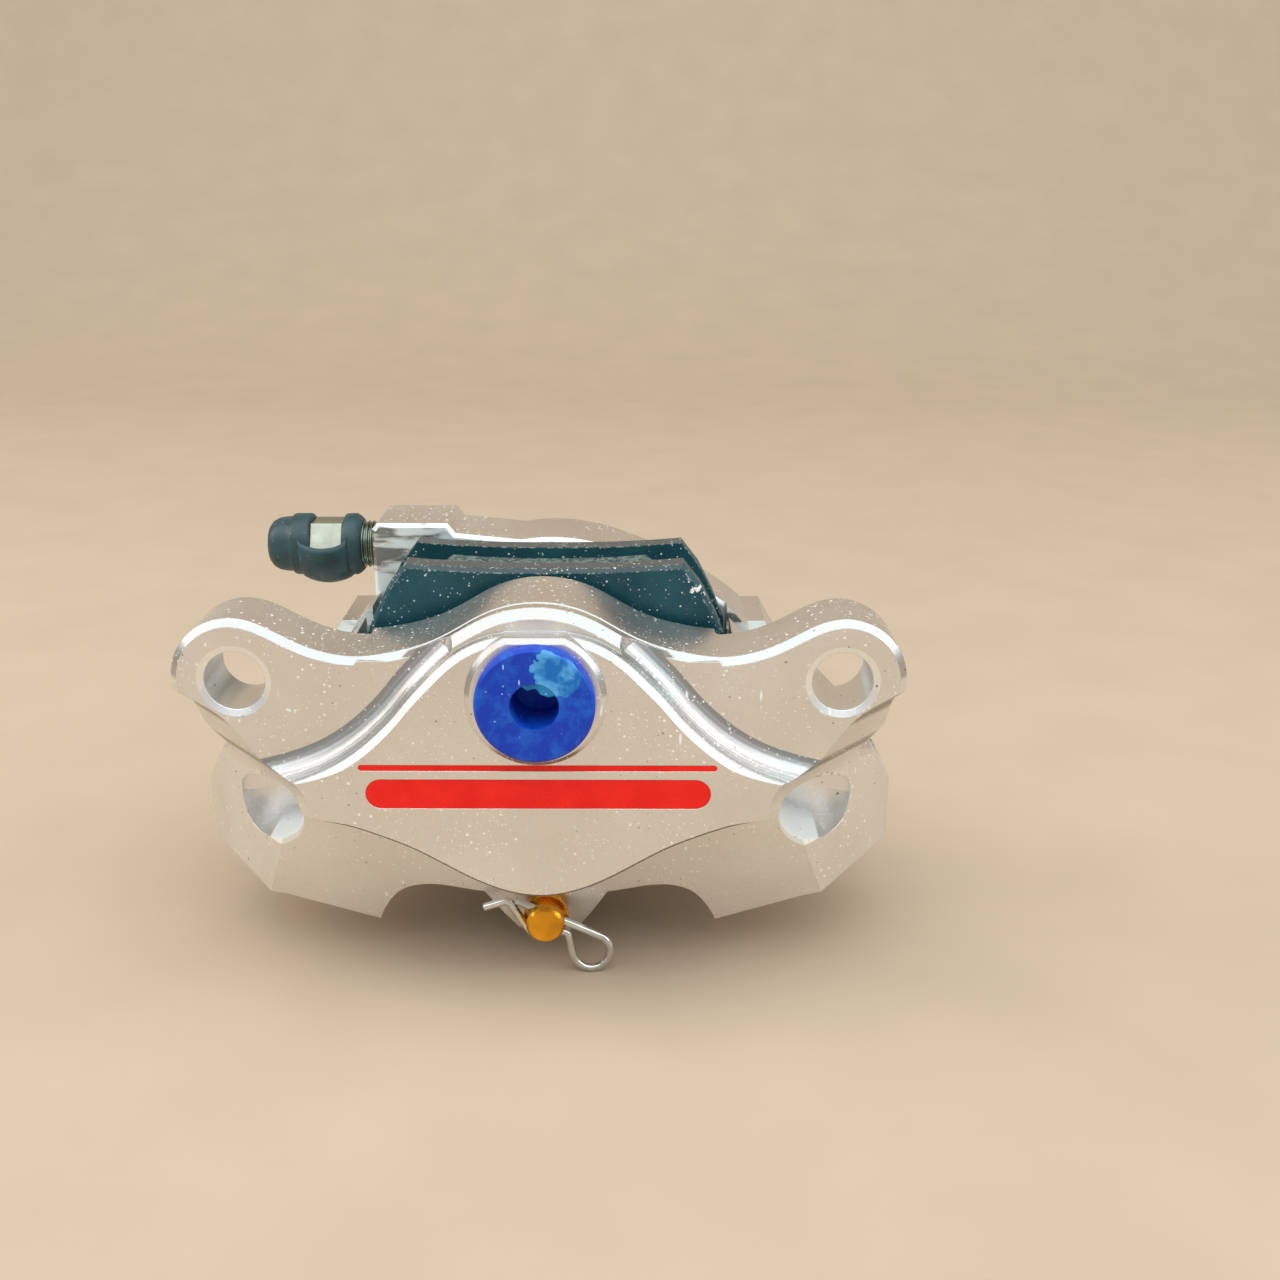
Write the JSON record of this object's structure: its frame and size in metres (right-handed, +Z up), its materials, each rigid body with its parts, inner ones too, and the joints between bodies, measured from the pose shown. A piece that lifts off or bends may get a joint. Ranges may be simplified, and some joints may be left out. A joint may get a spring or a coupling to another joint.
{
  "type": "brake caliper",
  "caption": "Machined two-piece opposed-piston disc brake caliper with eared mount, pads, pin, inlet port and bleeder.",
  "frame": {"origin": "midway between the two mounting holes, on the front face of the ears", "axes": "+X along the line through the mounting holes to the right, +Y from the ear side towards the rear half, +Z up towards the disc side"},
  "size_m": [0.1054, 0.0604, 0.0623],
  "materials": {
    "aluminium_body": "satin machined",
    "piston_metal": "hard anodised, smooth",
    "seal_rubber": "satin",
    "pad_plate": "dark textured paint",
    "pad_lining": "rough sintered, speckled",
    "spring_steel": "bright",
    "orange_anodised": "orange anodised",
    "clip_steel": "polished",
    "bolt_steel": "black oxide",
    "blue_plastic": "moulded, slightly scuffed",
    "red_paint": "gloss paint fill",
    "zinc_steel": "zinc plated",
    "cap_rubber": "satin moulded"
  },
  "bodies": {
    "caliper": {"front_half": "aluminium_body", "rear_half": "aluminium_body", "front_pressure_seal": "seal_rubber", "rear_pressure_seal": "seal_rubber", "front_dust_seal": "seal_rubber", "rear_dust_seal": "seal_rubber", "crossover_o_ring": "seal_rubber", "pad_spring": "spring_steel", "bridge_bolts": "bolt_steel", "face_stripe": "red_paint"},
    "front_piston_body": {"front_piston": "piston_metal"},
    "rear_piston_body": {"rear_piston": "piston_metal"},
    "front_pad": {"front_pad_plate": "pad_plate", "front_pad_lining": "pad_lining"},
    "rear_pad": {"rear_pad_plate": "pad_plate", "rear_pad_lining": "pad_lining"},
    "pin_and_clip": {"pad_pin": "orange_anodised", "pin_clip": "clip_steel"},
    "bleeder": {"bleed_screw": "zinc_steel", "cap_strap": "cap_rubber"},
    "cap": {"bleed_cap": "cap_rubber"},
    "plug": {"inlet_plug": "blue_plastic"}
  },
  "joints": [
    {"name": "front_piston_slide", "type": "slide", "parent": "caliper", "child": "front_piston_body", "axis": [0, -1, 0], "range_m": [0, 0.0019]},
    {"name": "front_pad_slide", "type": "slide", "parent": "caliper", "child": "front_pad", "axis": [0, -1, 0], "range_m": [0, 0.0019]},
    {"name": "rear_piston_slide", "type": "slide", "parent": "caliper", "child": "rear_piston_body", "axis": [0, 1, 0], "range_m": [0, 0.0019]},
    {"name": "rear_pad_slide", "type": "slide", "parent": "caliper", "child": "rear_pad", "axis": [0, 1, 0], "range_m": [0, 0.0019]},
    {"name": "pin_turn", "type": "hinge", "parent": "caliper", "child": "pin_and_clip", "pos_m": [0, 0.0044, -0.0394], "axis": [0, 1, 0], "range_deg": [-20, 20]},
    {"name": "bleed_screw_turn", "type": "hinge", "parent": "caliper", "child": "bleeder", "pos_m": [-0.03, 0.0415, 0.0086], "axis": [-1, 0, 0], "range_deg": [-180, 0]},
    {"name": "cap_pull", "type": "slide", "parent": "bleeder", "child": "cap", "axis": [-1, 0, 0], "range_m": [0, 0.0075]},
    {"name": "plug_pull", "type": "slide", "parent": "caliper", "child": "plug", "axis": [0, -1, 0], "range_m": [0, 0.012]}
  ],
  "couplings": [
    {"joint": "front_pad_slide", "follows": "front_piston_slide", "ratio": 1},
    {"joint": "rear_pad_slide", "follows": "rear_piston_slide", "ratio": 1}
  ]
}
